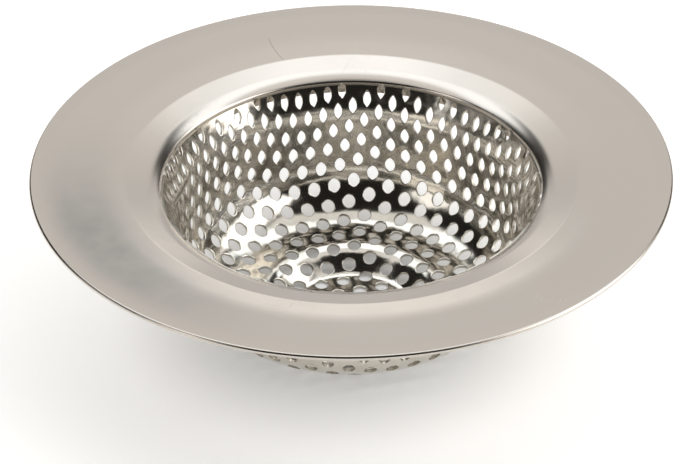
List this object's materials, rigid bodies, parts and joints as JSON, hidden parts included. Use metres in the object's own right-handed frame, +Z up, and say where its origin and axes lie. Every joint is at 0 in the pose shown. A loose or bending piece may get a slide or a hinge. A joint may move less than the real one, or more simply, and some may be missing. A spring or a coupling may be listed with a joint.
{
  "type": "sink strainer",
  "caption": "Round sink strainer: a wide dished rim flange with a hemmed edge carries a drawn, perforated, stepped basket that catches scraps over a drain.",
  "frame": {"origin": "centre of the underside of the basket's flat bottom, on which the strainer stands", "axes": "+Z up along the strainer's axis, from the basket to the rim; X and Y in the plane of the rim"},
  "size_m": [0.1142, 0.1142, 0.0318],
  "materials": {
    "satin_rim": "satin stainless steel",
    "polished_basket": "polished stainless steel",
    "weld_metal": "dull weld metal"
  },
  "bodies": {
    "root": {"rim_flange": "satin_rim", "basket": "polished_basket", "tack_welds": "weld_metal"}
  },
  "joints": []
}
